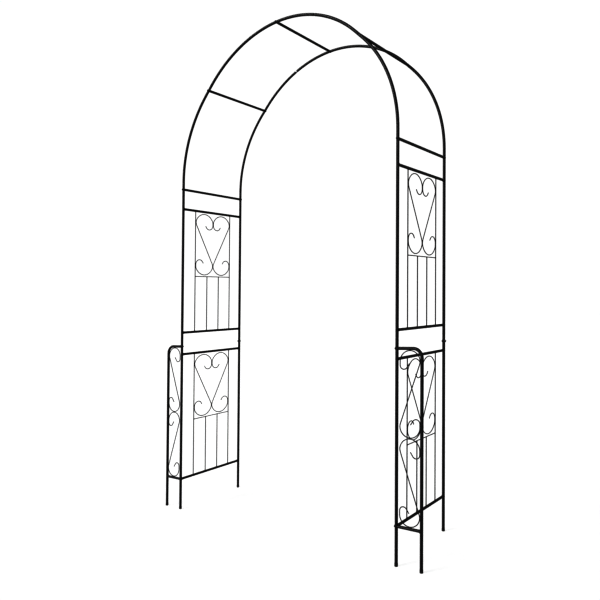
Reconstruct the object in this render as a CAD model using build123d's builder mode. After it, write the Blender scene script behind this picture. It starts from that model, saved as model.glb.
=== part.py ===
from build123d import *
from math import asin, atan2, cos, degrees, hypot, radians, sin
import os

# A metal garden arch: two side frames with scrolled trellis panels, two tube hoops over the path,
# bolted crossbars between the hoops, and a low scrolled wing beside each front post.
# Millimetres, +Z up. The origin is on the ground in the middle of the four posts.
# +X runs across the path, and the wings stand at the front, towards -Y.

# Overall frame, between tube axes
span = 1230.0  # left post to right post
depth = 415.0  # front post to rear post
foot_length = 150.0  # ground to the bottom rung
panel_height = 630.0  # lower rung to upper rung of a trellis panel
panel_gap = 110.0  # lower panel's upper rung to upper panel's lower rung
head_gap = 100.0  # upper panel's upper rung to the bolted crossbar above it
spring_rise = 39.0  # that crossbar to where the hoop begins to curve
haunch_angle = 46.0  # hoop crossbars beside the top one, from the vertical
haunch_flat = 50.0  # straight stretch of the hoop at each of those crossbars
splice_angle = 21.3  # slip joint in each hoop, from the vertical

# Tubes
post_od = 12.0  # posts, hoops and wing frames
post_wall = 1.0
rung_od = 11.0  # welded rungs, bolted crossbars and wing base bars
rung_wall = 1.0

# Slip joints: the lower tube's end is swaged down to a spigot inside the upper tube
spigot_length = 40.0
spigot_clearance = 0.15  # around the spigot
swage_length = 3.0  # thick neck below the spigot
seam_chamfer = 0.4  # on the shoulder that the upper tube stands on
screw_rise = 20.0  # seam to the screw that locks a post's joint
joint_rise = 40.0  # lower panel's upper rung to the screw of the post joint
splice_show = 6.0  # bare spigot left showing at the hoop's joint

# Screws, nuts and threaded inserts
screw_d = 5.0
screw_clearance = 0.15  # around the screw in a tube wall
thread_clearance = 0.05  # around the screw in a nut or insert
screw_reach = 8.0  # screw length past the far side of the tube, into an insert
head_d = 9.0
head_height = 3.6
head_rim = 1.4  # straight side of the head below its dome
socket_width = 3.0  # hexagon socket in the head, across corners
socket_depth = 2.0
nut_width = 9.2  # across corners
nut_height = 4.0
nut_show = 0.8  # screw end past the nut
insert_length = 12.0
insert_clearance = 0.05  # around the insert in a bar's bore

# Foot caps pushed on the tube ends
cap_wall = 0.5
cap_floor = 2.0
cap_height = 12.0
cap_clearance = 0.1
cap_edge = 1.2  # rounding under the cap

# Trellis panels
upright_d = 4.0
upright_count = 4  # evenly spaced between the posts
cross_wire_d = 3.5
cross_drop = 342.0  # panel's upper rung to the cross wire
scroll_d = 3.5
scroll_drop = 13.0  # panel's upper rung to the top of the scroll's centre line
scroll_rise = 9.0  # cross wire to the bottom of the scroll's centre line
crown_rise = 46.0  # widest level of the scroll to its top
shoulder_radius = 30.0
hook_run = 7.0  # straight beyond the scroll's widest level, before the hook
hook_radius = 26.0
hook_sweep = 147.0  # degrees
hook_tail = 7.0  # straight end after the hook
weld_gap = 0.1  # between wires that are spot-welded side by side

# Wings
wing_spacing = 104.0  # front post to the wing's outer post
wing_bend = 36.0  # centre line of the bend at the wing's top corner
wing_scroll_gap = 6.0  # front post to the scroll
wing_crown_rise = 40.0
wing_shoulder_radius = 34.0
wing_hook_run = 15.0
wing_hook_radius = 15.5
wing_hook_sweep = 146.0
wing_hook_tail = 18.0

# Radii and levels that follow
post_r = post_od / 2
post_bore_r = post_r - post_wall
spigot_r = post_bore_r - spigot_clearance
spigot_bore_r = spigot_r - post_wall
rung_r = rung_od / 2
rung_bore_r = rung_r - rung_wall
screw_r = screw_d / 2
screw_hole_r = screw_r + screw_clearance
thread_r = screw_r + thread_clearance
screw_length = post_od + screw_reach
nut_screw_length = post_od + nut_height + nut_show
head_r = head_d / 2
upright_r = upright_d / 2
cross_wire_r = cross_wire_d / 2
scroll_r = scroll_d / 2
base_z = foot_length
lower_top_z = base_z + panel_height
joint_z = lower_top_z + joint_rise
post_seam_z = joint_z - screw_rise
upper_base_z = lower_top_z + panel_gap
upper_top_z = upper_base_z + panel_height
head_z = upper_top_z + head_gap
hoop_seam_z = head_z - screw_rise
spring_z = head_z + spring_rise
haunch_sin = sin(radians(haunch_angle))
haunch_cos = cos(radians(haunch_angle))
hoop_radius = span / 2 - haunch_flat * haunch_cos
crown_z = spring_z + haunch_flat * haunch_sin
upright_pitch = depth / (upright_count + 1)

sides = {"left": -1, "right": 1}
ends = {"front": -1, "rear": 1}
corners = [(end, side) for end in ends for side in sides]
panels = {"lower": (base_z, lower_top_z), "upper": (upper_base_z, upper_top_z)}

os.makedirs("parts", exist_ok=True)


def save(piece, name):
    """Label a finished piece and write it."""
    piece.part.label = name
    export_step(piece.part, f"parts/{name}.step")


def post_x(side):
    return sides[side] * span / 2


def post_y(end):
    return ends[end] * depth / 2


def hoop_point(angle, end):
    """Point on a hoop's crown; the angle is from the vertical, positive to the right."""
    turn = radians(angle)
    return Vector(hoop_radius * sin(turn), post_y(end), crown_z + hoop_radius * cos(turn))


def haunch_point(side, end):
    """Middle of a hoop's straight stretch on one side."""
    way = sides[side]
    flat = Vector(way * haunch_cos, 0, -haunch_sin) * haunch_flat
    return hoop_point(way * haunch_angle, end) + flat / 2


def upright_plane(x, y):
    """Vertical section plane through an axis at x, y, with its own X along +X and its Y up."""
    return Plane((x, y, 0), x_dir=(1, 0, 0), z_dir=(0, -1, 0))


def swaged_section(bottom, seam):
    """Half section of a straight tube whose upper end is swaged to a spigot above the seam."""
    top = seam + spigot_length
    neck = seam - swage_length
    Polyline(
        (post_bore_r, bottom),
        (post_r, bottom),
        (post_r, seam - seam_chamfer),
        (post_r - seam_chamfer, seam),
        (spigot_r, seam),
        (spigot_r, top),
        (spigot_bore_r, top),
        (spigot_bore_r, neck),
        (post_bore_r, neck),
        close=True,
    )


def scroll_line(width, bottom, top, rise, shoulder, hook, run, turn, tail):
    """S-scroll about the local Y axis: a diagonal with a shoulder, a crown and a hook at each end."""
    edge = width / 2
    reach = edge - shoulder
    crown = (reach**2 + rise**2 - shoulder**2) / (2 * (rise - shoulder))
    blend = degrees(atan2(crown - rise, reach))
    high = top - rise
    low = bottom + rise
    across = 2 * reach
    slant = atan2(across, high - low) + asin(2 * shoulder / hypot(across, high - low))
    lean = degrees(slant)
    arm = (reach + shoulder * cos(slant), shoulder * sin(slant))
    bend = radians(turn)
    end = (hook - edge - hook * cos(bend), high - run - hook * sin(bend))
    tip = (end[0] + tail * sin(bend), end[1] - tail * cos(bend))

    Line(tip, end)
    CenterArc((hook - edge, high - run), hook, 180 + turn, -turn)
    Line((-edge, high - run), (-edge, high))
    CenterArc((-reach, high), shoulder, 180, -blend)
    CenterArc((0, top - crown), crown, 180 - blend, 2 * blend - 180)
    CenterArc((reach, high), shoulder, blend, -blend - lean)
    Line((arm[0], high - arm[1]), (-arm[0], low + arm[1]))
    CenterArc((-reach, low), shoulder, 180 - lean, lean + blend)
    CenterArc((0, bottom + crown), crown, 180 + blend, 180 - 2 * blend)
    CenterArc((reach, low), shoulder, -blend, blend)
    Line((edge, low), (edge, low + run))
    CenterArc((edge - hook, low + run), hook, 0, turn)
    Line((-end[0], bottom + top - end[1]), (-tip[0], bottom + top - tip[1]))


# Posts: a lower and an upper length at each corner, joined by a spigot and drilled for their screws
for end, side in corners:
    x, y = post_x(side), post_y(end)
    with BuildPart() as post_lower:
        with BuildSketch(upright_plane(x, y)):
            with BuildLine():
                swaged_section(cap_floor, post_seam_z)
            make_face()
        revolve(axis=Axis((x, y, 0), (0, 0, 1)))
        with Locations(Plane((x, y, joint_z), z_dir=(1, 0, 0))):
            Hole(screw_hole_r)
        if end == "front":
            with Locations(Plane((x, y, base_z), z_dir=(1, 0, 0))):
                Hole(screw_hole_r)
    save(post_lower, f"post_lower_{end}_{side}")

    with BuildPart() as post_upper:
        with BuildSketch(upright_plane(x, y)):
            with BuildLine():
                swaged_section(post_seam_z, hoop_seam_z)
            make_face()
        revolve(axis=Axis((x, y, 0), (0, 0, 1)))
        with Locations(Plane((x, y, joint_z), z_dir=(1, 0, 0))):
            Hole(screw_hole_r)
        with Locations(Plane((x, y, head_z), z_dir=(0, 1, 0))):
            Hole(screw_hole_r)
    save(post_upper, f"post_upper_{end}_{side}")

# Rungs: tubes coped to the posts and welded, at the foot and head of each trellis panel
for side in sides:
    for panel, levels in panels.items():
        for place, z in zip(("base", "top"), levels):
            with BuildPart() as rung:
                with BuildSketch(Plane((post_x(side), post_y("front"), z), z_dir=(0, 1, 0))):
                    Circle(rung_r)
                    Circle(rung_bore_r, mode=Mode.SUBTRACT)
                extrude(amount=depth)
                with Locations(*[(post_x(side), post_y(end), z) for end in ends]):
                    Cylinder(post_r, 2 * rung_od, mode=Mode.SUBTRACT)
            save(rung, f"rung_{panel}_{place}_{side}")

# Trellis panels: two full uprights, two short bars below a cross wire, and a pair of scrolls above it
for side in sides:
    for panel, (low, high) in panels.items():
        cross_z = high - cross_drop
        outer = upright_pitch * (upright_count - 1) / 2
        rows = [upright_pitch * step - outer for step in range(upright_count)]
        full_rows = [rows[0], rows[-1]]
        short_rows = rows[1:-1]
        foot = low + rung_r

        with BuildPart() as uprights:
            with BuildSketch(Plane((post_x(side), 0, foot))):
                with Locations(*[(0, row) for row in full_rows]):
                    Circle(upright_r)
            extrude(amount=high - rung_r - foot)
        save(uprights, f"uprights_{panel}_{side}")

        with BuildPart() as short_bars:
            with BuildSketch(Plane((post_x(side), 0, foot))):
                with Locations(*[(0, row) for row in short_rows]):
                    Circle(upright_r)
            extrude(amount=cross_z - cross_wire_r - foot)
        save(short_bars, f"short_bars_{panel}_{side}")

        with BuildPart() as cross_wire:
            with BuildSketch(Plane((post_x(side), upright_r - outer, cross_z), z_dir=(0, 1, 0))):
                Circle(cross_wire_r)
            extrude(amount=2 * (outer - upright_r))
        save(cross_wire, f"cross_wire_{panel}_{side}")

        inner_edge = scroll_r + weld_gap / 2
        outer_edge = outer - upright_r - weld_gap - scroll_r
        for end, way in ends.items():
            middle = way * (inner_edge + outer_edge) / 2
            scroll_plane = Plane((post_x(side), middle, 0), x_dir=(0, way, 0), z_dir=(way, 0, 0))
            with BuildPart() as scroll:
                with BuildLine(scroll_plane) as path:
                    scroll_line(
                        outer_edge - inner_edge,
                        cross_z + scroll_rise,
                        high - scroll_drop,
                        crown_rise,
                        shoulder_radius,
                        hook_radius,
                        hook_run,
                        hook_sweep,
                        hook_tail,
                    )
                with BuildSketch(Plane(path.wire() @ 0, z_dir=path.wire() % 0)):
                    Circle(scroll_r)
                sweep()
            save(scroll, f"scroll_{panel}_{side}_{end}")

# Hoops: one long and one short length each, with the slip joint on the right at the front and on the left
# at the rear. The short length's spigot enters the long one, and both slip over the posts' spigots.
spigot_turn = degrees(spigot_length / hoop_radius)
swage_turn = degrees(swage_length / hoop_radius)
show_turn = degrees(splice_show / hoop_radius)


def hoop_line(leg_side, angle):
    """Centre line of a hoop, up from the seam on one side and round to an angle from the vertical."""
    way = sides[leg_side]
    start = 0 if way > 0 else 180
    leg_x = post_x(leg_side)
    shoulder = way * hoop_radius * haunch_sin
    Line((leg_x, hoop_seam_z), (leg_x, spring_z))
    CenterArc((leg_x - way * hoop_radius, spring_z), hoop_radius, start, way * (90 - haunch_angle))
    Line(
        (shoulder + way * haunch_flat * haunch_cos, spring_z + hoop_radius * haunch_cos),
        (shoulder, crown_z + hoop_radius * haunch_cos),
    )
    CenterArc((0, crown_z), hoop_radius, 90 - way * haunch_angle, way * haunch_angle - angle)


def hoop_arc(from_angle, to_angle):
    """Stretch of a hoop's crown between two angles from the vertical."""
    CenterArc((0, crown_z), hoop_radius, 90 - from_angle, from_angle - to_angle)


def leg_section(side, end):
    """Section plane at the foot of a hoop, with its own X pointing away from the walkway."""
    return Plane((post_x(side), post_y(end), hoop_seam_z), x_dir=(sides[side], 0, 0))


def arc_section(angle, end):
    """Section plane across a hoop's crown, with its own X pointing away from the walkway."""
    place = hoop_point(angle, end)
    outward = place - Vector(0, post_y(end), crown_z)
    return Plane(place, x_dir=outward, z_dir=outward.cross(Vector(0, 1, 0)))


for end, splice_side in (("front", "right"), ("rear", "left")):
    way = sides[splice_side]
    leg_side = "left" if splice_side == "right" else "right"
    hoop_plane = upright_plane(0, post_y(end))
    splice = way * splice_angle

    with BuildPart() as hoop_long:
        with BuildLine(hoop_plane):
            hoop_line(leg_side, splice)
        with BuildSketch(leg_section(leg_side, end)):
            Circle(post_r)
            Circle(post_bore_r, mode=Mode.SUBTRACT)
        sweep()
        with Locations(Plane((post_x(leg_side), post_y(end), head_z), z_dir=(0, 1, 0))):
            Hole(screw_hole_r)
        for place in (haunch_point(leg_side, end), hoop_point(0, end)):
            with Locations(Plane(place, z_dir=(0, 1, 0))):
                Hole(screw_hole_r)
    save(hoop_long, f"hoop_{end}_long")

    seam = splice + way * show_turn
    neck = seam + way * swage_turn
    tip = splice - way * spigot_turn
    with BuildPart() as hoop_short:
        with BuildLine(hoop_plane):
            hoop_line(splice_side, neck)
        with BuildSketch(leg_section(splice_side, end)):
            Circle(post_r)
            Circle(post_bore_r, mode=Mode.SUBTRACT)
        sweep()
        with BuildLine(hoop_plane):
            hoop_arc(neck, seam)
        with BuildSketch(arc_section(neck, end)):
            Circle(post_r)
            Circle(spigot_bore_r, mode=Mode.SUBTRACT)
        sweep()
        with BuildLine(hoop_plane):
            hoop_arc(seam, tip)
        with BuildSketch(arc_section(seam, end)):
            Circle(spigot_r)
            Circle(spigot_bore_r, mode=Mode.SUBTRACT)
        sweep()
        with Locations(Plane((post_x(splice_side), post_y(end), head_z), z_dir=(0, 1, 0))):
            Hole(screw_hole_r)
        with Locations(Plane(haunch_point(splice_side, end), z_dir=(0, 1, 0))):
            Hole(screw_hole_r)
    save(hoop_short, f"hoop_{end}_short")

# Crossbars: square-cut tubes between the hoops, held by a screw into an insert at each end
crossbars = {
    "left_spring": Vector(post_x("left"), 0, head_z),
    "left_haunch": haunch_point("left", "rear"),
    "apex": hoop_point(0, "rear"),
    "right_haunch": haunch_point("right", "rear"),
    "right_spring": Vector(post_x("right"), 0, head_z),
}
crossbar_end = depth / 2 - post_r
for name, place in crossbars.items():
    with BuildPart() as crossbar:
        with BuildSketch(Plane((place.X, -crossbar_end, place.Z), z_dir=(0, 1, 0))):
            Circle(rung_r)
            Circle(rung_bore_r, mode=Mode.SUBTRACT)
        extrude(amount=2 * crossbar_end)
    save(crossbar, f"crossbar_{name}")

# Wings: a bent tube from the front post's joint to the ground, a base bar and two stacked scrolls
wing_y = post_y("front")
wing_width = wing_spacing - 2 * post_r - wing_scroll_gap - weld_gap - scroll_d
wing_middle = post_r + wing_scroll_gap + scroll_r + wing_width / 2
wing_high = joint_z - post_r - weld_gap - scroll_r
wing_low = base_z + rung_r + weld_gap + scroll_r
wing_meet = (wing_high + wing_low) / 2
wing_half_gap = scroll_r + weld_gap / 2
wing_scrolls = {
    "top": (1, wing_meet + wing_half_gap, wing_high),
    "bottom": (-1, wing_low, wing_meet - wing_half_gap),
}
for side, way in sides.items():
    outer_x = post_x(side) + way * wing_spacing
    bar_x = post_x(side) + way * post_r
    with BuildPart() as wing_frame:
        with BuildLine(upright_plane(0, wing_y)):
            FilletPolyline((bar_x, joint_z), (outer_x, joint_z), (outer_x, cap_floor), radius=wing_bend)
        with BuildSketch(Plane((bar_x, wing_y, joint_z), z_dir=(way, 0, 0))):
            Circle(post_r)
            Circle(post_bore_r, mode=Mode.SUBTRACT)
        sweep()
    save(wing_frame, f"wing_frame_{side}")

    with BuildPart() as wing_base_bar:
        with BuildSketch(Plane((bar_x, wing_y, base_z), z_dir=(way, 0, 0))):
            Circle(rung_r)
            Circle(rung_bore_r, mode=Mode.SUBTRACT)
        extrude(amount=wing_spacing - post_r)
        with Locations((outer_x, wing_y, base_z)):
            Cylinder(post_r, 2 * rung_od, mode=Mode.SUBTRACT)
    save(wing_base_bar, f"wing_base_bar_{side}")

    for place, (turn, low, high) in wing_scrolls.items():
        facing = way * turn
        scroll_plane = Plane(
            (post_x(side) + way * wing_middle, wing_y, 0),
            x_dir=(facing, 0, 0),
            z_dir=(0, -facing, 0),
        )
        with BuildPart() as wing_scroll:
            with BuildLine(scroll_plane) as path:
                scroll_line(
                    wing_width,
                    low,
                    high,
                    wing_crown_rise,
                    wing_shoulder_radius,
                    wing_hook_radius,
                    wing_hook_run,
                    wing_hook_sweep,
                    wing_hook_tail,
                )
            with BuildSketch(Plane(path.wire() @ 0, z_dir=path.wire() % 0)):
                Circle(scroll_r)
            sweep()
        save(wing_scroll, f"wing_scroll_{place}_{side}")

# Screws: pan heads with a hexagon socket. A seat is where the head meets the tube, and faces the way it does.
crossbar_seats = [
    Plane((place.X, post_y(end) + way * post_r, place.Z), z_dir=(0, way, 0))
    for place in crossbars.values()
    for end, way in ends.items()
]


def walkway_seats(end, z):
    """Seats at one level on the walkway's side of the two posts at one end."""
    return [
        Plane((post_x(side) - way * post_r, post_y(end), z), z_dir=(-way, 0, 0))
        for side, way in sides.items()
    ]


wing_base_seats = walkway_seats("front", base_z)
wing_top_seats = walkway_seats("front", joint_z)
rear_joint_seats = walkway_seats("rear", joint_z)
screw_sets = {
    "crossbar_screws": [(seat, screw_length) for seat in crossbar_seats],
    "side_screws": [(seat, screw_length) for seat in wing_base_seats + wing_top_seats]
    + [(seat, nut_screw_length) for seat in rear_joint_seats],
}
for name, seats in screw_sets.items():
    with BuildPart() as screws:
        for seat, length in seats:
            with BuildSketch(Plane(seat.origin, x_dir=seat.x_dir, z_dir=-seat.y_dir)):
                with BuildLine():
                    Polyline(
                        (0, head_height),
                        (0, -length),
                        (screw_r, -length),
                        (screw_r, 0),
                        (head_r, 0),
                        (head_r, head_rim),
                    )
                    TangentArc((0, head_height), (head_r, head_rim), tangent=(1, 0))
                make_face()
            revolve(axis=Axis(seat.origin, seat.z_dir))
            with BuildSketch(seat.offset(head_height)):
                RegularPolygon(socket_width / 2, 6)
            extrude(amount=-socket_depth, mode=Mode.SUBTRACT)
    save(screws, name)

# Threaded inserts in the bars' ends, opposite the screw heads
insert_sets = {
    "crossbar_inserts": (crossbar_seats, rung_bore_r),
    "wing_top_inserts": (wing_top_seats, post_bore_r),
    "wing_base_inserts": (wing_base_seats, rung_bore_r),
}
for name, (seats, bore_r) in insert_sets.items():
    with BuildPart() as inserts:
        for seat in seats:
            with BuildSketch(seat.offset(-post_od)):
                Circle(bore_r - insert_clearance)
                Circle(thread_r, mode=Mode.SUBTRACT)
            extrude(amount=-insert_length)
    save(inserts, name)

# Nuts outside the rear posts' joints
with BuildPart() as joint_nuts:
    for seat in rear_joint_seats:
        with BuildSketch(seat.offset(-post_od)):
            RegularPolygon(nut_width / 2, 6)
            Circle(thread_r, mode=Mode.SUBTRACT)
        extrude(amount=-nut_height)
save(joint_nuts, "joint_nuts")

# Foot caps under the four posts and the wings' outer posts
feet = [(post_x(side), post_y(end)) for end, side in corners]
feet += [(post_x(side) + way * wing_spacing, wing_y) for side, way in sides.items()]
cap_bore_r = post_r + cap_clearance
with BuildPart() as foot_caps:
    with BuildSketch():
        with Locations(*feet):
            Circle(cap_bore_r + cap_wall)
    extrude(amount=cap_height)
    with BuildSketch(Plane.XY.offset(cap_floor)):
        with Locations(*feet):
            Circle(cap_bore_r)
    extrude(amount=cap_height, mode=Mode.SUBTRACT)
    fillet(foot_caps.edges().group_by(Axis.Z)[0], radius=cap_edge)
save(foot_caps, "foot_caps")
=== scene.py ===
import math
from collections import namedtuple

import bmesh
import bpy
from bpy.props import FloatProperty, FloatVectorProperty, IntProperty, PointerProperty
from mathutils import Matrix, Vector


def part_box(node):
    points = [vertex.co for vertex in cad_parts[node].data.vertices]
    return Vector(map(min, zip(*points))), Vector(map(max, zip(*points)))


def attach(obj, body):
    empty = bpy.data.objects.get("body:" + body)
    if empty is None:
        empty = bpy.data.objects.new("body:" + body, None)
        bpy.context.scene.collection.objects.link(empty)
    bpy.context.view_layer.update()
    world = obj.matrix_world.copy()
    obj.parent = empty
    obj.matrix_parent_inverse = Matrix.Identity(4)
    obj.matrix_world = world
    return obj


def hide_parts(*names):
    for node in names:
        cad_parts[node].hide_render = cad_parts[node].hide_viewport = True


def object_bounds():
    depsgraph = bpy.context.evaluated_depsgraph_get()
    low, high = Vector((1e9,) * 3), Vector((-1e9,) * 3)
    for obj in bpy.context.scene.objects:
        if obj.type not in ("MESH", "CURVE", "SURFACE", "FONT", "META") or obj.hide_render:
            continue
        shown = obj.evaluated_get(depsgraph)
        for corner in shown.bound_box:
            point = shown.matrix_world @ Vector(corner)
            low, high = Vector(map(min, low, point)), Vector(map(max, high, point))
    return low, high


bl_info = {
    "name": "Garden Arch Finish",
    "version": (1, 0, 0),
    "blender": (4, 5, 0),
    "location": "View3D > Sidebar > Garden Arch",
    "description": "Coats a tubular garden arch and adds its welds, fixings, foot caps and a pale studio",
    "category": "Object",
}

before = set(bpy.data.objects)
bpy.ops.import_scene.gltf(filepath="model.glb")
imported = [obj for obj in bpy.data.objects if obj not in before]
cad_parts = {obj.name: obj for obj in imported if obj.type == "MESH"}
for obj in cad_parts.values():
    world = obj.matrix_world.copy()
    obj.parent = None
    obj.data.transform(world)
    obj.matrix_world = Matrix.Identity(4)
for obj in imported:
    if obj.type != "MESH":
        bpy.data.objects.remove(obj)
CAD_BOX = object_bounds()
PHOTO_SIDE = 600  # pixels
SENSOR_WIDTH = 36.0  # millimetres
WALL_EDGE = math.sin(math.radians(30)), math.sin(math.radians(42))  # the white wall fades out
CEILING_EDGE = math.sin(math.radians(58)), math.sin(math.radians(70))  # the ceiling fades in
SOFTBOX_WAY = Vector((-0.43, -0.76, 0.48)).normalized()
SOFTBOX_EDGE = math.cos(math.radians(12.5)), math.cos(math.radians(7.5))  # the softbox fades in
MM = 0.001
X, Y, Z = Vector((1, 0, 0)), Vector((0, 1, 0)), Vector((0, 0, 1))
SIDES = {"left": -1, "right": 1}
ENDS = {"front": -1, "rear": 1}
PANELS = ("lower", "upper")
CROSSBARS = ("left_spring", "left_haunch", "apex", "right_haunch", "right_spring")
Seat = namedtuple("Seat", "place turn kind", defaults=(0,))


# Places and sizes read from the frame, in metres

def middle(node):
    """Middle of a CAD node's box."""
    low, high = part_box(node)
    return (low + high) / 2


def half_size(node, axis):
    """Half of a CAD node's size along one axis: the radius of a bar that runs along another."""
    low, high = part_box(node)
    return (high[axis] - low[axis]) / 2


POST_R = half_size("post_lower_front_left", 0)
RUNG_R = half_size("rung_lower_base_left", 2)
UPRIGHT_R = half_size("uprights_lower_left", 0)
CROSS_WIRE_R = half_size("cross_wire_lower_left", 2)
SCROLL_R = half_size("scroll_lower_left_front", 0)
POST_X = middle("post_lower_front_right").x
POST_Y = middle("post_lower_rear_right").y
WING_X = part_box("wing_frame_right")[1].x - POST_R
JOINT_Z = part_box("wing_frame_right")[1].z - POST_R
BASE_Z = middle("wing_base_bar_right").z
HAUNCH_FLAT = 50 * MM
HAUNCH_TURN = math.radians(46)
HOOP_RADIUS = POST_X - HAUNCH_FLAT * math.cos(HAUNCH_TURN)
CROWN_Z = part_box("hoop_front_long")[1].z - POST_R - HOOP_RADIUS
CROWN_RISE = HOOP_RADIUS * math.cos(HAUNCH_TURN)
NUT_CORNER_R = half_size("joint_nuts", 2)
NUT_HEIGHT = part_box("joint_nuts")[1].x - POST_X - POST_R
CAP_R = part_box("foot_caps")[1].x - WING_X
CAP_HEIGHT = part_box("foot_caps")[1].z


# Settings that a user would change

def length(label, text, default):
    """A length in metres."""
    return FloatProperty(name=label, description=text, default=default, unit="LENGTH", precision=5)


def number(label, text, default):
    """A plain number."""
    return FloatProperty(name=label, description=text, default=default)


def share(label, text, default):
    """A number from 0 to 1."""
    return FloatProperty(name=label, description=text, default=default, min=0.0, max=1.0)


def angle(label, text, degrees):
    """An angle, given in degrees."""
    return FloatProperty(name=label, description=text, default=math.radians(degrees), subtype="ANGLE")


def colour(label, text, default):
    """A linear colour."""
    limits = {"min": 0.0, "max": 1.0}
    return FloatVectorProperty(name=label, description=text, default=default, subtype="COLOR", **limits)


class ArchCoat(bpy.types.PropertyGroup):
    """Finishes of the steel and of the caps."""

    black: colour("Coat", "Powder coat on tubes and wires", (0.0052, 0.0052, 0.0055))
    worn: colour("Worn coat", "Thin or rubbed powder coat", (0.016, 0.016, 0.017))
    dust: colour("Dust", "Dust that settles on what faces up", (0.16, 0.15, 0.135))
    dust_share: share("Dust amount", "Most dust on a level face", 0.035)
    roughness: share("Coat roughness", "Middle roughness of the powder coat", 0.56)
    gloss: share("Coat gloss", "Strength of the coat's reflections", 0.24)
    peel: length("Orange peel", "Width of the coat's orange peel", 1.6 * MM)
    grit: length("Coat grit", "Width of the coat's fine grit", 0.28 * MM)
    cloud: length("Gloss clouds", "Width of the cloudy changes in gloss", 55 * MM)
    relief: length("Coat relief", "Height of the orange peel", 0.06 * MM)
    steel: colour("Bare steel", "Uncoated steel of the rear hoop's spigot", (0.3, 0.3, 0.31))
    oxide: colour("Black oxide", "Blackened steel of screws and nuts", (0.022, 0.022, 0.024))
    zinc: colour("Zinc", "Plating of the threaded inserts", (0.55, 0.56, 0.58))
    moulded: colour("Cap plastic", "Moulded plastic of the foot caps", (0.0075, 0.0075, 0.0078))


class ArchWelds(bpy.types.PropertyGroup):
    """Weld beads round bar ends, and tacks between wires."""

    tube_bead: length("Tube bead", "Radius of the bead round a tube's end", 1.5 * MM)
    wire_bead: length("Wire bead", "Radius of the bead round a wire's end", 0.75 * MM)
    tack_length: length("Tack length", "Length of a tack between two wires", 8.5 * MM)
    tack_width: length("Tack width", "Width of a tack across two wires", 3.3 * MM)
    tack_depth: length("Tack depth", "Thickness of a tack", 4.1 * MM)
    ripples: IntProperty(name="Ripples", description="Ripples round a tube's bead", default=26, min=3)
    uneven: share("Unevenness", "How far a bead swells and shrinks", 0.11)
    scroll_level: length("Scroll tacks", "From a panel scroll's end to its widest level", 46 * MM)


class ArchFixings(bpy.types.PropertyGroup):
    """Screws, nuts and foot caps."""

    shank: length("Shank", "Screw diameter", 5 * MM)
    shank_length: length("Shank length", "From the head to the tip, into an insert", 20 * MM)
    nut_show: length("End past the nut", "Screw end past a nut", 0.8 * MM)
    head: length("Head", "Diameter of the pan head", 9 * MM)
    head_height: length("Head height", "Height of the pan head", 3.6 * MM)
    head_rim: length("Head rim", "Straight side of the head", 1.4 * MM)
    socket: length("Socket", "Hexagon socket, across corners", 3.2 * MM)
    socket_depth: length("Socket depth", "Depth of the hexagon socket", 2 * MM)
    pitch: length("Thread pitch", "Rise of the thread in one turn", 0.8 * MM)
    groove: length("Thread depth", "Depth of the thread", 0.4 * MM)
    threaded: length("Threaded tip", "Length of the thread that can show", 6 * MM)
    cap_ribs: IntProperty(name="Cap ribs", description="Grip ribs round a foot cap", default=4, min=0)
    cap_rib: length("Cap rib", "Depth of the grooves between ribs", 0.15 * MM)
    spin_seed: IntProperty(name="Spin seed", description="Seed of the screws' turns", default=7)


class ArchStage(bpy.types.PropertyGroup):
    """Camera, floor and lights."""

    place: FloatVectorProperty(
        name="Camera",
        description="Camera's place",
        default=(1.7055, -2.1889, 0.9811),
        subtype="TRANSLATION",
    )
    heading: angle("Heading", "Camera's turn from the path, to the left", 38.208)
    pitch: angle("Pitch", "Camera's tilt above the horizon", 0.962)
    roll: angle("Roll", "Camera's turn about its view", 0.385)
    lean: number("Lean", "Fall of the picture's level lines to the right", -0.0484)
    focal: number("Focal length", "In pixels of the photograph", 587.8)
    floor: colour("Floor", "Pale floor", (0.8, 0.8, 0.8))
    floor_size: length("Floor size", "Width of the floor", 60.0)
    glow: share("Floor glow", "Share of the floor's colour that is lit from below", 0.92)
    table: number("Light table", "Strength of the light below the floor", 1.18)
    sky: number("Surround", "Strength of the white surround at eye level", 1.03)
    upper: number("Upper walls", "Strength of the surround above eye level", 0.08)
    ceiling: number("Ceiling", "Strength of the surround overhead", 0.4)
    softbox: number("Softbox", "Strength of the softbox on the left wall", 80.0)
    key: number("Key light", "Power of the main lamp, in watts", 18.0)
    tone: number("Tone", "Display gamma: lower is a harder, darker print", 0.48)


# Node trees

class Value:
    """An output of a node tree. Arithmetic on it adds Math nodes to that tree."""

    def __init__(self, tree, socket):
        self.tree = tree
        self.socket = socket

    def math(self, operation, *values):
        return self.tree.add("ShaderNodeMath", {"operation": operation}, dict(enumerate((self, *values))))

    def __add__(self, other):
        return self.math("ADD", other)

    def __sub__(self, other):
        return self.math("SUBTRACT", other)

    def __mul__(self, other):
        return self.math("MULTIPLY", other)

    def __rsub__(self, other):
        return self.tree.add("ShaderNodeMath", {"operation": "SUBTRACT"}, {0: other, 1: self})

    __radd__ = __add__
    __rmul__ = __mul__

    def ramp(self, low, high):
        """0 below low and 1 above high, smooth between them."""
        return self.tree.add(
            "ShaderNodeMapRange",
            {"interpolation_type": "SMOOTHSTEP"},
            {"Value": self, "From Min": low, "From Max": high},
        )

    def parts(self):
        """X, Y and Z of a vector."""
        node = self.tree.node("ShaderNodeSeparateXYZ", {}, {"Vector": self})
        return [Value(self.tree, output) for output in node.outputs]


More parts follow.
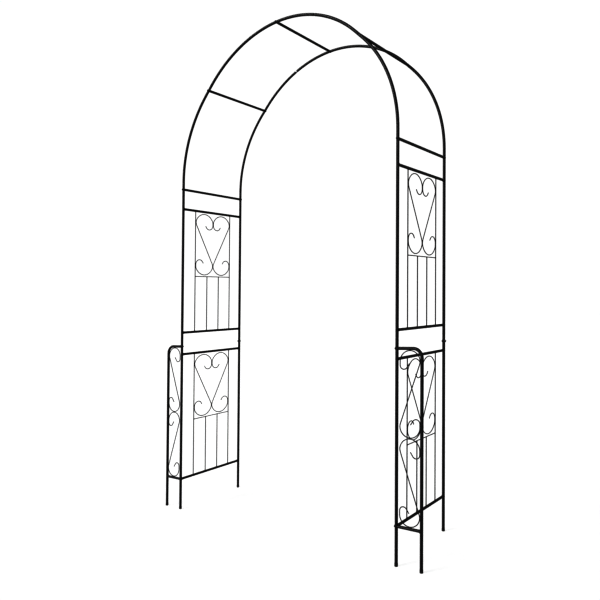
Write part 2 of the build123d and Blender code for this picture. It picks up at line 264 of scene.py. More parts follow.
class Tree:
    """A shader or geometry node tree, built by short calls."""

    def __init__(self, group):
        self.group = group

    def node(self, kind, settings, sockets):
        """One new node: its settings first, then the values or links of its inputs."""
        made = self.group.nodes.new(kind)
        for name, value in settings.items():
            setattr(made, name, value)
        for name, value in sockets.items():
            if isinstance(value, (Value, list)):
                for linked in value if isinstance(value, list) else [value]:
                    self.group.links.new(linked.socket, made.inputs[name])
            else:
                made.inputs[name].default_value = value
        return made

    def add(self, kind, settings=None, sockets=None, out=0):
        """One output of a new node."""
        return Value(self, self.node(kind, settings or {}, sockets or {}).outputs[out])

    def noise(self, place, width, detail=1.0):
        """Noise about 0.5 with features of a given width."""
        return self.add("ShaderNodeTexNoise", {}, {"Vector": place, "Scale": 1 / width, "Detail": detail})

    def mix(self, factor, first, second):
        """A colour between two others."""
        settings = {"data_type": "RGBA", "clamp_factor": True}
        pair = [value if isinstance(value, Value) else (*value, 1.0) for value in (first, second)]
        return self.add("ShaderNodeMix", settings, {0: factor, 6: pair[0], 7: pair[1]}, out=2)


def new_material(name):
    """An empty node material and its tree."""
    material = bpy.data.materials.new(name)
    material.use_nodes = True
    material.node_tree.nodes.clear()
    return material, Tree(material.node_tree)


def surface(tree, height, relief, **sockets):
    """Finish a material: a principled surface with a bump of a given height."""
    bump = tree.add("ShaderNodeBump", {}, {"Strength": 1.0, "Distance": relief, "Height": height})
    named = {name.replace("_", " "): value for name, value in sockets.items()}
    shader = tree.add("ShaderNodeBsdfPrincipled", {}, {**named, "Normal": bump})
    tree.node("ShaderNodeOutputMaterial", {}, {"Surface": shader})


# Materials: where an effect sets in and is full, its share, and how far it swings the roughness

NOISE_MIDDLE = 0.5
THIN_WIDTH, THIN_EDGE, THIN_SHARE = 0.25, (0.62, 0.78), 0.5
DUST_SLOPE, DUST_CLOUD, DUST_SWING = (0.3, 1.0), (0.3, 0.7), 2
CLOUD_SWING, PEEL_SWING = 0.2, 0.08
PEEL_HEIGHT, GRIT_HEIGHT = 0.8, 0.2
SKIN_EDGE = 0.9 * MM, 0.5 * MM
STREAK_SWING, STEEL_ROUGHNESS = 0.2, 0.3
BLOTCH_EDGE, MARK_SWING, OXIDE_ROUGHNESS, OXIDE_METAL = (0.55, 0.8), 0.2, 0.42, 0.6
SPANGLE_SWING, ZINC_ROUGHNESS = 0.25, 0.22
SCUFF_EDGE, SCUFF_SHARE = (0.5, 0.75), 0.35
GRAIN_SWING, PLASTIC_ROUGHNESS = 0.12, 0.5
FLOOR_GRAIN, FLOOR_RELIEF, FLOOR_ROUGHNESS = 4 * MM, 0.02 * MM, 0.75
DRIFT_WIDTH, DRIFT_SHARE, DRIFT_SHADE, DRIFT_SWING = 0.9, 0.4, 0.996, 0.1


def powder_coat(name, bare=None):
    """Satin black powder coat: orange peel, cloudy gloss, thin patches and a breath of dust on top."""
    coat = bpy.context.scene.arch_coat
    material, tree = new_material(name)
    place = tree.add("ShaderNodeTexCoord", out="Object")
    peel = tree.noise(place, coat.peel, detail=2.0)
    grit = tree.noise(place, coat.grit)
    cloud = tree.noise(place, coat.cloud, detail=3.0)
    thin = tree.noise(place, coat.cloud * THIN_WIDTH, detail=5.0).ramp(*THIN_EDGE)
    up = tree.add("ShaderNodeNewGeometry", out="Normal").parts()[2]
    dust = up.ramp(*DUST_SLOPE) * cloud.ramp(*DUST_CLOUD) * coat.dust_share
    tone = tree.mix(dust, tree.mix(thin * THIN_SHARE, coat.black, coat.worn), coat.dust)
    rough = (cloud - NOISE_MIDDLE) * CLOUD_SWING + (peel - NOISE_MIDDLE) * PEEL_SWING
    rough = rough + dust * DUST_SWING + coat.roughness
    height = peel * PEEL_HEIGHT + grit * GRIT_HEIGHT
    metal = 0.0
    if bare:
        steel = bare(place)
        streaks = tree.noise(place, coat.peel, detail=4.0)
        tone = tree.mix(steel, tone, coat.steel)
        rough = rough * (1 - steel) + steel * (streaks * STREAK_SWING + STEEL_ROUGHNESS)
        metal = steel
    surface(
        tree,
        height,
        coat.relief,
        Base_Color=tone,
        Roughness=rough,
        Metallic=metal,
        Specular_IOR_Level=coat.gloss,
    )
    return material


def inside_crown(place):
    """1 inside the coated skin of the rear hoop's crown: on the spigot that shows at its slip joint."""
    x, y, z = place.parts()
    rise = z - CROWN_Z
    out = (x * x + rise * rise).math("SQRT") - HOOP_RADIUS
    aside = y - POST_Y
    reach = (out * out + aside * aside).math("SQRT")
    crown = rise.ramp(CROWN_RISE + POST_R, CROWN_RISE + 2 * POST_R)
    return (1 - reach.ramp(*(POST_R - depth for depth in SKIN_EDGE))) * crown


def black_oxide():
    """Blackened steel: dark, a little metallic, with fine turning marks."""
    coat = bpy.context.scene.arch_coat
    material, tree = new_material("blackened_steel")
    place = tree.add("ShaderNodeTexCoord", out="Object")
    marks = tree.noise(place, coat.grit, detail=3.0)
    blotch = tree.noise(place, coat.peel, detail=2.0)
    tone = tree.mix(blotch.ramp(*BLOTCH_EDGE), coat.oxide, coat.worn)
    rough = (marks - NOISE_MIDDLE) * MARK_SWING + OXIDE_ROUGHNESS
    surface(tree, marks, coat.relief / 3, Base_Color=tone, Roughness=rough, Metallic=OXIDE_METAL)
    return material


def zinc_plate():
    """Bright zinc with a fine spangle."""
    coat = bpy.context.scene.arch_coat
    material, tree = new_material("zinc_plate")
    place = tree.add("ShaderNodeTexCoord", out="Object")
    spangle = tree.noise(place, coat.peel, detail=4.0)
    tone = tree.mix(spangle, coat.zinc, coat.steel)
    rough = spangle * SPANGLE_SWING + ZINC_ROUGHNESS
    surface(tree, spangle, coat.relief / 3, Base_Color=tone, Roughness=rough, Metallic=1.0)
    return material


def moulded_plastic():
    """Matt black plastic with a fine moulded grain, scuffed grey near the ground."""
    coat = bpy.context.scene.arch_coat
    material, tree = new_material("moulded_plastic")
    place = tree.add("ShaderNodeTexCoord", out="Object")
    grain = tree.noise(place, coat.grit, detail=2.0)
    scuff = tree.noise(place, coat.peel, detail=5.0).ramp(*SCUFF_EDGE)
    low = 1 - place.parts()[2].ramp(0.0, CAP_HEIGHT / 2)
    tone = tree.mix(scuff * low * SCUFF_SHARE, coat.moulded, coat.dust)
    surface(
        tree,
        grain,
        coat.relief / 2,
        Base_Color=tone,
        Roughness=grain * GRAIN_SWING + PLASTIC_ROUGHNESS,
        Specular_IOR_Level=coat.gloss,
    )
    return material


def pale_floor(stage):
    """Pale acrylic that shines mostly from below, so that hardly a shadow shows on it."""
    material, tree = new_material("pale_acrylic")
    place = tree.add("ShaderNodeTexCoord", out="Object")
    grain = tree.noise(place, FLOOR_GRAIN, detail=3.0)
    drift = tree.noise(place, DRIFT_WIDTH, detail=2.0)
    lit = [value * (1 - stage.glow) for value in stage.floor]
    surface(
        tree,
        grain,
        FLOOR_RELIEF,
        Base_Color=tree.mix(drift * DRIFT_SHARE, lit, [value * DRIFT_SHADE for value in lit]),
        Roughness=drift * DRIFT_SWING + FLOOR_ROUGHNESS,
        Emission_Color=(*stage.floor, 1.0),
        Emission_Strength=stage.glow * stage.table,
    )
    return material


def finish(material, *nodes):
    """Give CAD nodes a material."""
    for node in nodes:
        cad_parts[node].data.materials.clear()
        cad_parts[node].data.materials.append(material)


def shared_coat(name):
    """A powder coat that is made once and then used again."""
    return bpy.data.materials.get(name) or powder_coat(name)


# Meshes

SOCKET_LIP, DOME_RIM, NUT_FACE = 1.08, 0.985, 0.97  # of the socket, the head and the nut across flats
HEAD_EDGE = 0.12 * MM
CAP_FOOT, CAP_LIP, CAP_PLAY = 1.3 * MM, 0.3 * MM, 0.02 * MM
RIBS_FROM, RIBS_BELOW = 2.8 * MM, 2.2 * MM  # above the ground, and below the cap's top
RIB_PROFILE = ((0.0, 0), (0.14, 1), (0.36, 1), (0.5, 0))  # along the pitch, and share of the depth


def facing(out, along):
    """Turn that points a piece's own Z along out and its own Y as near as it can along another axis."""
    side = along.cross(out).normalized()
    return Matrix((side, out.cross(side), out)).transposed().to_euler()


def turned(name, rings, sides=48):
    """Closed mesh of rings about Z. A ring's radius and height are numbers or rules of the angle."""
    form = bmesh.new()
    loops = []
    for radius, height in rings:
        steps = 1 if radius == 0 else sides
        loop = []
        for step in range(steps):
            turn = 2 * math.pi * step / sides
            r = radius(turn) if callable(radius) else radius
            z = height(turn) if callable(height) else height
            loop.append(form.verts.new((r * math.cos(turn), r * math.sin(turn), z)))
        loops.append(loop)
    for low, high in zip(loops, loops[1:]):
        for step in range(sides):
            corners = [low[step % len(low)], low[(step + 1) % len(low)]]
            corners += [high[(step + 1) % len(high)], high[step % len(high)]]
            form.faces.new(dict.fromkeys(corners))
    bmesh.ops.recalc_face_normals(form, faces=form.faces)
    mesh = bpy.data.meshes.new(name)
    form.to_mesh(mesh)
    form.free()
    smooth(mesh)
    return mesh


def smooth(mesh, crease=math.radians(38)):
    """Shade a mesh smooth, apart from its sharp edges."""
    mesh.shade_smooth()
    mesh.set_sharp_from_angle(angle=crease)


def hexagon(corner_radius):
    """Rule for the radius of a hexagon at an angle."""
    flat = corner_radius * math.cos(math.pi / 6)
    return lambda turn: flat / math.cos((turn + math.pi / 6) % (math.pi / 3) - math.pi / 6)


def screw_mesh(fixings, reach):
    """Pan-head screw along Z, its seat at 0, with a hexagon socket and a threaded tip."""
    radius, head_radius = fixings.shank / 2, fixings.head / 2
    dome = fixings.head_height - fixings.head_rim
    sphere = (head_radius**2 + dome**2) / (2 * dome)
    mouth = hexagon(fixings.socket / 2)

    def crown(r):
        return fixings.head_height - sphere + math.sqrt(sphere**2 - r**2)

    def thread(height):
        def groove(turn):
            phase = (height / fixings.pitch - turn / (2 * math.pi)) % 1
            return radius - fixings.groove * abs(2 * phase - 1)
        return groove

    floor = fixings.head_height - fixings.socket_depth
    rings = [(0, floor), (mouth, floor), (mouth, lambda turn: crown(mouth(turn)))]
    dome_steps = 7
    lip, rim = fixings.socket / 2 * SOCKET_LIP, head_radius * DOME_RIM
    for step in range(dome_steps):
        r = lip + (rim - lip) * step / (dome_steps - 1)
        rings.append((r, crown(r)))
    rings += [(head_radius, fixings.head_rim - HEAD_EDGE), (head_radius, HEAD_EDGE)]
    rings += [(head_radius - HEAD_EDGE, 0), (radius, 0), (radius, fixings.threaded - reach)]
    steps_per_turn = 6
    steps = round(fixings.threaded / fixings.pitch * steps_per_turn)
    for step in range(1, steps):
        height = fixings.threaded * (1 - step / steps) - reach
        rings.append((thread(height), height))
    rings += [(radius - fixings.groove, -reach), (0, -reach)]
    return turned("screw", rings, sides=36)


def nut_mesh(fixings):
    """Hexagon nut along Z, its seat at 0, with chamfered corners and a countersunk bore."""
    outline = hexagon(NUT_CORNER_R)
    face = NUT_CORNER_R * math.cos(math.pi / 6) * NUT_FACE
    bevel = math.tan(math.radians(30))
    bore = fixings.shank / 2

    def drop(turn):
        return max(outline(turn) - face, 0) * bevel

    rings = [
        (bore, 0),
        (bore + fixings.groove, 0),
        (face, 0),
        (outline, drop),
        (outline, lambda turn: NUT_HEIGHT - drop(turn)),
        (face, NUT_HEIGHT),
        (bore + fixings.groove, NUT_HEIGHT),
        (bore, NUT_HEIGHT - fixings.groove),
        (bore, 0),
    ]
    return turned("nut", rings, sides=72)


def cap_mesh(fixings):
    """Moulded foot cap along Z from the ground, with grip ribs and a rounded lip round the tube."""
    inner = POST_R + CAP_PLAY
    rings = [(0, 0), (CAP_R - CAP_FOOT, 0)]
    arc_steps = 6
    for step in range(1, arc_steps + 1):
        turn = math.pi / 2 * step / arc_steps
        height = CAP_FOOT - CAP_FOOT * math.cos(turn)
        rings.append((CAP_R - CAP_FOOT + CAP_FOOT * math.sin(turn), height))
    pitch = (CAP_HEIGHT - RIBS_BELOW - RIBS_FROM) / max(fixings.cap_ribs, 1)
    for rib in range(fixings.cap_ribs):
        for part, depth in RIB_PROFILE:
            rings.append((CAP_R - depth * fixings.cap_rib, RIBS_FROM + pitch * (rib + part)))
    middle_r, half_wall = (CAP_R + inner) / 2, (CAP_R - inner) / 2
    for step in range(arc_steps + 1):
        turn = math.pi * step / arc_steps
        height = CAP_HEIGHT - CAP_LIP + CAP_LIP * math.sin(turn)
        rings.append((middle_r + half_wall * math.cos(turn), height))
    rings += [(inner, CAP_HEIGHT / 2), (0, CAP_HEIGHT / 2)]
    return turned("foot_cap", rings, sides=56)


# Geometry node trees

LUMP_WIDTH = 2.2 * MM
BEAD_OFFSET = 0.3  # from the bar and the post to the middle of a bead, in its radii
BEAD_STEPS, BEAD_SIDES = 120, 10
TACK_SIZES = {"Min": 0.88, "Max": 1.12, "Seed": 3}
KIND_MARGIN = 0.5


def geometry_tree(name, **inputs):
    """A geometry node group, its tree and its inputs as values."""
    group = bpy.data.node_groups.new(name, "GeometryNodeTree")
    group.interface.new_socket("Geometry", in_out="OUTPUT", socket_type="NodeSocketGeometry")
    group.interface.new_socket("Points", in_out="INPUT", socket_type="NodeSocketGeometry")
    for label, kind in inputs.items():
        shown = label.replace("_", " ")
        group.interface.new_socket(shown, in_out="INPUT", socket_type="NodeSocket" + kind)
    tree = Tree(group)
    source = group.nodes.new("NodeGroupInput")
    return group, tree, {output.name: Value(tree, output) for output in source.outputs}


def point_turn(tree):
    """The turn that each point carries."""
    stored = tree.add("GeometryNodeInputNamedAttribute", {"data_type": "FLOAT_VECTOR"}, {"Name": "turn"})
    return tree.add("FunctionNodeEulerToRotation", {}, {"Euler": stored})


def close_tree(tree, instances, material, wobble=None):
    """Turn instances into one plain mesh, roughen it where asked, and give it its material."""
    mesh = tree.add("GeometryNodeRealizeInstances", {}, {"Geometry": instances})
    if wobble:
        noise = tree.add("ShaderNodeTexNoise", {}, {"Scale": 1 / LUMP_WIDTH, "Detail": 2.0})
        normal = tree.add("GeometryNodeInputNormal")
        swell = (noise - NOISE_MIDDLE) * wobble
        swell = tree.add("ShaderNodeVectorMath", {"operation": "SCALE"}, {0: normal, "Scale": swell})
        mesh = tree.add("GeometryNodeSetPosition", {}, {"Geometry": mesh, "Offset": swell})
    mesh = tree.add("GeometryNodeSetMaterial", {}, {"Geometry": mesh, "Material": material})
    tree.node("NodeGroupOutput", {}, {0: mesh})


def bead_tree():
    """A rippled weld bead round the end of a bar, where it saddles a round post."""
    group, tree, given = geometry_tree(
        "weld_bead",
        Bar_Radius="Float",
        Post_Radius="Float",
        Bead_Radius="Float",
        Ripples="Int",
        Unevenness="Float",
        Material="Material",
    )
    bead = given["Bead Radius"]
    offset = bead * BEAD_OFFSET
    ring = tree.add(
        "GeometryNodeCurvePrimitiveCircle",
        {},
        {"Resolution": BEAD_STEPS, "Radius": given["Bar Radius"] + offset},
    )
    x, y, _ = tree.add("GeometryNodeInputPosition").parts()
    post = given["Post Radius"]
    saddle = (post * post - x * x).math("MAXIMUM", 0.0).math("SQRT") + offset
    place = tree.add("ShaderNodeCombineXYZ", {}, {"X": x, "Y": y, "Z": saddle})
    ring = tree.add("GeometryNodeSetPosition", {}, {"Geometry": ring, "Position": place})
    along = tree.add("GeometryNodeSplineParameter")
    wave = (along * given["Ripples"] * (2 * math.pi)).math("SINE") * given["Unevenness"] + 1
    section = tree.add("GeometryNodeCurvePrimitiveCircle", {}, {"Resolution": BEAD_SIDES, "Radius": bead})
    tube = tree.add(
        "GeometryNodeCurveToMesh",
        {},
        {"Curve": ring, "Profile Curve": section, "Scale": wave},
    )
    placed = tree.add(
        "GeometryNodeInstanceOnPoints",
        {},
        {"Points": given["Points"], "Instance": tube, "Rotation": point_turn(tree)},
    )
    close_tree(tree, placed, given["Material"], bead * given["Unevenness"] * 2)
    return group


def tack_tree():
    """Lumpy tack welds in the grooves between wires that touch."""
    group, tree, given = geometry_tree(
        "weld_tack",
        Size="Vector",
        Unevenness="Float",
        Material="Material",
    )
    ball = tree.add("GeometryNodeMeshIcoSphere", {}, {"Radius": 0.5, "Subdivisions": 4})
    vary = tree.add("FunctionNodeRandomValue", {"data_type": "FLOAT"}, TACK_SIZES, out=1)
    size = tree.add("ShaderNodeVectorMath", {"operation": "SCALE"}, {0: given["Size"], "Scale": vary})
    placed = tree.add(
        "GeometryNodeInstanceOnPoints",
        {},
        {"Points": given["Points"], "Instance": ball, "Rotation": point_turn(tree), "Scale": size},
    )
    depth = given["Size"].parts()[0]
    close_tree(tree, placed, given["Material"], depth * given["Unevenness"])
    return group


def seat_tree():
    """Copies of turned pieces on seats, of the kind that each seat takes, each spun by its own amount."""
    kinds = ("Piece", "Second Piece")
    group, tree, given = geometry_tree(
        "on_seats",
        Piece="Object",
        Second_Piece="Object",
        Seed="Int",
        Material="Material",
    )
    kind = tree.add("GeometryNodeInputNamedAttribute", {"data_type": "INT"}, {"Name": "kind"})
    spin = tree.add(
        "FunctionNodeRandomValue",
        {"data_type": "FLOAT"},
        {"Max": 2 * math.pi, "Seed": given["Seed"]},
        out=1,
    )
    about = tree.add("ShaderNodeCombineXYZ", {}, {"Z": spin})
    about = tree.add("FunctionNodeEulerToRotation", {}, {"Euler": about})
    turn = tree.add(
        "FunctionNodeRotateRotation",
        {"rotation_space": "LOCAL"},
        {"Rotation": point_turn(tree), "Rotate By": about},
    )
    placed = []
    for index, label in enumerate(kinds):
        sockets = {
            "Points": given["Points"],
            "Selection": kind.math("COMPARE", index, KIND_MARGIN),
            "Instance": tree.add("GeometryNodeObjectInfo", {}, {"Object": given[label]}, out="Geometry"),
            "Rotation": turn,
        }
        placed.append(tree.add("GeometryNodeInstanceOnPoints", {}, sockets))
    placed = tree.add("GeometryNodeJoinGeometry", {}, {"Geometry": placed})
    close_tree(tree, placed, given["Material"])
    return group


def new_object(name, mesh):
    """An object in the scene, at the origin."""
    made = bpy.data.objects.new(name, mesh)
    bpy.context.scene.collection.objects.link(made)
    return made


TREES = {"weld_bead": bead_tree, "weld_tack": tack_tree, "on_seats": seat_tree}


def grow(name, seats, tree, **inputs):
    """A piece that a node tree grows on seats; its mesh is plain at the end."""
    mesh = bpy.data.meshes.new(name)
    mesh.from_pydata([seat.place for seat in seats], [], [])
    turns = mesh.attributes.new("turn", "FLOAT_VECTOR", "POINT").data
    for item, seat in zip(turns, seats):
        item.vector = seat.turn
    mesh.attributes.new("kind", "INT", "POINT").data.foreach_set("value", [seat.kind for seat in seats])
    piece = new_object(name, mesh)
    modifier = piece.modifiers.new("Grow", "NODES")
    group = bpy.data.node_groups.get(tree) or TREES[tree]()
    modifier.node_group = group
    given = [item for item in group.interface.items_tree if item.in_out == "INPUT"]
    sockets = {item.name: item.identifier for item in given}
    for label, value in inputs.items():
        modifier[sockets[label.replace("_", " ")]] = value
    view = bpy.context.evaluated_depsgraph_get()
    grown = bpy.data.meshes.new_from_object(piece.evaluated_get(view))
    piece.modifiers.remove(modifier)
    piece.data = grown
    smooth(grown)
    return piece


def dress(piece, slot, *replaced):
    """Put a finished piece on the arch, in place of CAD nodes where some are named."""
    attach(piece, "root")
    if replaced:
        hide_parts(*replaced)


def set_on_seats(name, meshes, seats, material, slot, *replaced):
    """Copies of one or two meshes on seats, in place of CAD nodes."""
    patterns = [new_object(mesh.name, mesh) for mesh in meshes]
    inputs = dict(zip(("Piece", "Second_Piece"), patterns))
    seed = bpy.context.scene.arch_fixings.spin_seed
    piece = grow(name, seats, "on_seats", Seed=seed, Material=material, **inputs)
    for pattern in patterns:
        bpy.data.objects.remove(pattern)
    dress(piece, slot, *replaced)


# Operators

class ARCH_OT_coat_tubes(bpy.types.Operator):
    """Powder coat the posts, rungs, crossbars, hoops and wing frames"""

    bl_idname = "garden_arch.coat_tubes"
    bl_label = "Coat the tubes"

    def execute(self, context):
        kinds = ("post_", "rung_", "wing_frame_", "wing_base_bar_", "hoop_front_")
        tubes = [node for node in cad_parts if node.startswith(kinds)]
        tubes += [f"crossbar_{name}" for name in CROSSBARS]
        finish(shared_coat("powder_coat"), *tubes)
        finish(powder_coat("rear_hoop_coat", inside_crown), "hoop_rear_long", "hoop_rear_short")
        return {"FINISHED"}


class ARCH_OT_coat_wires(bpy.types.Operator):
    """Powder coat the trellis wires and the scrolls"""

    bl_idname = "garden_arch.coat_wires"
    bl_label = "Coat the wires"

    def execute(self, context):
        kinds = ("uprights_", "short_bars_", "cross_wire_", "scroll_", "wing_scroll_")
        wires = [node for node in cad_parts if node.startswith(kinds)]
        finish(shared_coat("wire_coat"), *wires)
        return {"FINISHED"}


class ARCH_OT_tube_welds(bpy.types.Operator):
    """Run a weld bead round each rung's ends and round the outer ends of the wings' base bars"""

    bl_idname = "garden_arch.tube_welds"
    bl_label = "Weld the tubes"

    def execute(self, context):
        welds = context.scene.arch_welds
        seats = []
        for node in (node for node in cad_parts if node.startswith("rung_")):
            rung = middle(node)
            for way in ENDS.values():
                seats.append(Seat((rung.x, way * POST_Y, rung.z), facing(-way * Y, Z)))
        for way in SIDES.values():
            seats.append(Seat((way * WING_X, -POST_Y, BASE_Z), facing(-way * X, Z)))
        piece = grow(
            "tube_welds",
            seats,
            "weld_bead",
            Bar_Radius=RUNG_R,
            Post_Radius=POST_R,
            Bead_Radius=welds.tube_bead,
            Ripples=welds.ripples,
            Unevenness=welds.uneven,
            Material=shared_coat("powder_coat"),
        )
        dress(piece, "tube")
        return {"FINISHED"}


class ARCH_OT_wire_welds(bpy.types.Operator):
    """Run a small weld bead round each end of the uprights, short bars and cross wires"""

    bl_idname = "garden_arch.wire_welds"
    bl_label = "Weld the wires"

    def execute(self, context):
        on_rungs, on_cross_wires, on_uprights = [], [], []
        for side in SIDES:
            for panel in PANELS:
                low = middle(f"rung_{panel}_base_{side}")
                high = middle(f"rung_{panel}_top_{side}")
                cross = middle(f"cross_wire_{panel}_{side}")
                bars = half_size(f"short_bars_{panel}_{side}", 1) - UPRIGHT_R
                posts = half_size(f"uprights_{panel}_{side}", 1) - UPRIGHT_R
                for way in ENDS.values():
                    on_rungs.append(Seat((low.x, way * posts, low.z), facing(Z, Y)))
                    on_rungs.append(Seat((high.x, way * posts, high.z), facing(-Z, Y)))
                    on_rungs.append(Seat((low.x, way * bars, low.z), facing(Z, Y)))
                    on_cross_wires.append(Seat((cross.x, way * bars, cross.z), facing(-Z, Y)))
                    on_uprights.append(Seat((cross.x, way * posts, cross.z), facing(-way * Y, Z)))
        self.weld("rung_wire_welds", on_rungs, UPRIGHT_R, RUNG_R)
        self.weld("cross_wire_welds", on_cross_wires, UPRIGHT_R, CROSS_WIRE_R)
        self.weld("upright_welds", on_uprights, CROSS_WIRE_R, UPRIGHT_R)
        return {"FINISHED"}

    def weld(self, name, seats, bar_radius, post_radius):
        welds = bpy.context.scene.arch_welds
        piece = grow(
            name,
            seats,
            "weld_bead",
            Bar_Radius=bar_radius,
            Post_Radius=post_radius,
            Bead_Radius=welds.wire_bead,
            Ripples=welds.ripples // 2,
            Unevenness=welds.uneven,
            Material=shared_coat("wire_coat"),
        )
        dress(piece, "wire")


class ARCH_OT_scroll_tacks(bpy.types.Operator):
    """Tack the scrolls to the uprights, to each other and to the wings' tubes"""

    bl_idname = "garden_arch.scroll_tacks"
    bl_label = "Tack the scrolls"

    def execute(self, context):
        welds = context.scene.arch_welds
        seats = []
        for side in SIDES:
            for panel in PANELS:
                seats += self.panel_seats(panel, side, welds.scroll_level)
            seats += self.wing_seats(side)
        piece = grow(
            "scroll_tacks",
            seats,
            "weld_tack",
            Size=(welds.tack_depth, welds.tack_width, welds.tack_length),
            Unevenness=welds.uneven,
            Material=shared_coat("wire_coat"),
        )
        dress(piece, "wire")
        return {"FINISHED"}

    def panel_seats(self, panel, side, level):
        """Where the scrolls of one panel touch the uprights and each other."""
        low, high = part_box(f"scroll_{panel}_{side}_front")
        x = (low.x + high.x) / 2
        upright = half_size(f"uprights_{panel}_{side}", 1) - 2 * UPRIGHT_R
        heights = (low.z + SCROLL_R + level, high.z - SCROLL_R - level)
        return [Seat((x, y, z), facing(Z, Y)) for z in heights for y in (-upright, 0.0, upright)]

    def wing_seats(self, side):
        """Where the scrolls of one wing touch its outer post, its two bars and each other."""
        seats = []
        way = SIDES[side]
        edge = way * (WING_X - POST_R)
        for place in ("top", "bottom"):
            node = f"wing_scroll_{place}_{side}"
            low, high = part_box(node)
            level = half_size(node, 0)
            for z in (low.z + level, high.z - level):
                seats.append(Seat((edge, -POST_Y, z), facing(Z, X)))
            outer = high.z if place == "top" else low.z
            seats.append(Seat((middle(node).x, -POST_Y, outer), facing(X, Z)))
        seats.append(Seat((middle(node).x, -POST_Y, high.z), facing(X, Z)))
        return seats


class ARCH_OT_fixings(bpy.types.Operator):
    """Set the screws and nuts on their seats, and plate the inserts"""

    bl_idname = "garden_arch.fixings"
    bl_label = "Set the fixings"

    def execute(self, context):
        fixings = context.scene.arch_fixings
        oxide = black_oxide()
        outer = POST_Y + POST_R
        in_insert, in_nut = 0, 1
        places = [middle(f"crossbar_{name}") for name in CROSSBARS]
        seats = [
            Seat((place.x, way * outer, place.z), facing(way * Y, Z))
            for place in places
            for way in ENDS.values()
        ]
        joints = ((-POST_Y, BASE_Z, in_insert), (-POST_Y, JOINT_Z, in_insert), (POST_Y, JOINT_Z, in_nut))
        seats += [
            Seat((way * (POST_X - POST_R), end, z), facing(-way * X, Z), kind)
            for way in SIDES.values()
            for end, z, kind in joints
        ]
        reaches = (fixings.shank_length, 2 * POST_R + NUT_HEIGHT + fixings.nut_show)
        screws = [screw_mesh(fixings, reach) for reach in reaches]
        set_on_seats("pan_screws", screws, seats, oxide, "fixing", "crossbar_screws", "side_screws")
        seats = [
            Seat((way * (POST_X + POST_R), POST_Y, JOINT_Z), facing(way * X, Z))
            for way in SIDES.values()
        ]
        set_on_seats("hexagon_nuts", [nut_mesh(fixings)], seats, oxide, "fixing", "joint_nuts")
        finish(zinc_plate(), "crossbar_inserts", "wing_top_inserts", "wing_base_inserts")
        return {"FINISHED"}


class ARCH_OT_foot_caps(bpy.types.Operator):
    """Push a moulded cap on each leg"""

    bl_idname = "garden_arch.foot_caps"
    bl_label = "Cap the feet"

    def execute(self, context):
        legs = [(way * POST_X, end * POST_Y) for way in SIDES.values() for end in ENDS.values()]
        legs += [(way * WING_X, -POST_Y) for way in SIDES.values()]
        seats = [Seat((x, y, 0.0), facing(Z, Y)) for x, y in legs]
        caps = [cap_mesh(context.scene.arch_fixings)]
        set_on_seats("moulded_foot_caps", caps, seats, moulded_plastic(), "cap", "foot_caps")
        return {"FINISHED"}


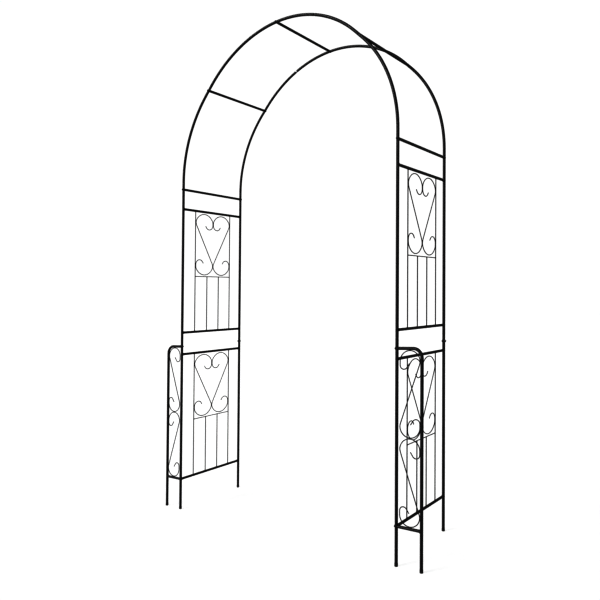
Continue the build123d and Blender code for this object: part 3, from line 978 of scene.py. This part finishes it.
class ARCH_OT_stage(bpy.types.Operator):
    """Lay the floor, light the arch and set the camera at the photograph's angle"""

    bl_idname = "garden_arch.stage"
    bl_label = "Set the stage"

    def execute(self, context):
        stage = context.scene.arch_stage
        self.lay_floor(stage)
        self.light(stage)
        self.set_camera(stage)
        context.scene.view_settings.view_transform = "Standard"
        context.scene.view_settings.gamma = stage.tone
        return {"FINISHED"}

    def lay_floor(self, stage):
        half = stage.floor_size / 2
        sheet = bpy.data.meshes.new("floor")
        corners = [(-half, -half, 0), (half, -half, 0), (half, half, 0), (-half, half, 0)]
        sheet.from_pydata(corners, [], [(0, 1, 2, 3)])
        sheet.materials.append(pale_floor(stage))
        new_object("floor", sheet)

    def light(self, stage):
        """A surround that is white at eye level and dim above, a softbox in it, and three small lamps."""
        world = bpy.data.worlds.new("surround")
        world.use_nodes = True
        world.node_tree.nodes.clear()
        tree = Tree(world.node_tree)
        way = tree.add("ShaderNodeTexCoord", out="Generated")
        rise = way.parts()[2]
        walls = 1 - rise.ramp(*WALL_EDGE)
        overhead = rise.ramp(*CEILING_EDGE)
        dot = {"operation": "DOT_PRODUCT"}
        aim = tree.add("ShaderNodeVectorMath", dot, {0: way, 1: SOFTBOX_WAY}, out="Value")
        strength = walls * (stage.sky - stage.upper) + overhead * (stage.ceiling - stage.upper)
        strength = strength + stage.upper + aim.ramp(*SOFTBOX_EDGE) * stage.softbox
        glow = tree.add("ShaderNodeBackground", {}, {"Color": (1, 1, 1, 1), "Strength": strength})
        tree.node("ShaderNodeOutputWorld", {}, {"Surface": glow})
        bpy.context.scene.world = world
        # Place, width and portion of the key light's power
        lamps = {
            "key": ((-2.6, -3.4, 4.2), 1.2, 1.0),
            "fill": ((3.8, -1.2, 2.6), 1.0, 0.4),
            "rim": ((1.2, 3.6, 3.6), 1.0, 0.6),
        }
        target = Vector((0, 0, CAD_BOX[1].z / 2))
        for name, (place, size, portion) in lamps.items():
            lamp = bpy.data.lights.new(name, "AREA")
            lamp.size = size
            lamp.energy = stage.key * portion
            holder = bpy.data.objects.new(name, lamp)
            bpy.context.scene.collection.objects.link(holder)
            holder.location = place
            holder.rotation_euler = (target - Vector(place)).to_track_quat("-Z", "Y").to_euler()

    def set_camera(self, stage):
        """The photograph's uprights stand straight and its level lines lean, so a rig shears the view."""
        lens = bpy.data.cameras.new("camera")
        lens.sensor_width = SENSOR_WIDTH
        lens.lens = stage.focal / PHOTO_SIDE * SENSOR_WIDTH
        rig = new_object("camera_rig", None)
        rig.matrix_world = (
            Matrix.Translation(stage.place)
            @ Matrix.Rotation(stage.heading, 4, "Z")
            @ Matrix.Rotation(math.pi / 2 + stage.pitch, 4, "X")
            @ Matrix.Rotation(stage.roll, 4, "Z")
        )
        shear = Matrix.Identity(4)
        shear[1][0] = stage.lean
        camera = new_object("camera", lens)
        camera.parent = rig
        camera.matrix_parent_inverse = shear
        bpy.context.scene.camera = camera


class ARCH_PT_finish(bpy.types.Panel):
    """The arch's finish, piece by piece"""

    bl_label = "Garden Arch"
    bl_idname = "ARCH_PT_finish"
    bl_space_type = "VIEW_3D"
    bl_region_type = "UI"
    bl_category = "Garden Arch"

    def draw(self, context):
        for step in STEPS:
            self.layout.operator(step.bl_idname)
        for label in SETTINGS:
            group = getattr(context.scene, label)
            box = self.layout.box()
            for name in group.__annotations__:
                box.prop(group, name)


SETTINGS = {
    "arch_coat": ArchCoat,
    "arch_welds": ArchWelds,
    "arch_fixings": ArchFixings,
    "arch_stage": ArchStage,
}
STEPS = (
    ARCH_OT_stage,
    ARCH_OT_coat_tubes,
    ARCH_OT_coat_wires,
    ARCH_OT_tube_welds,
    ARCH_OT_wire_welds,
    ARCH_OT_scroll_tacks,
    ARCH_OT_fixings,
    ARCH_OT_foot_caps,
)


def register():
    for group in (*SETTINGS.values(), *STEPS, ARCH_PT_finish):
        bpy.utils.register_class(group)
    for label, group in SETTINGS.items():
        setattr(bpy.types.Scene, label, PointerProperty(type=group))


def unregister():
    for label in SETTINGS:
        delattr(bpy.types.Scene, label)
    for group in reversed((*SETTINGS.values(), *STEPS, ARCH_PT_finish)):
        bpy.utils.unregister_class(group)


def main():
    """Finish the arch step by step."""
    register()
    bpy.ops.garden_arch.stage()
    bpy.ops.garden_arch.coat_tubes()
    bpy.ops.garden_arch.coat_wires()
    bpy.ops.garden_arch.tube_welds()
    bpy.ops.garden_arch.wire_welds()
    bpy.ops.garden_arch.scroll_tacks()
    bpy.ops.garden_arch.fixings()
    bpy.ops.garden_arch.foot_caps()


if __name__ == "__main__":
    main()
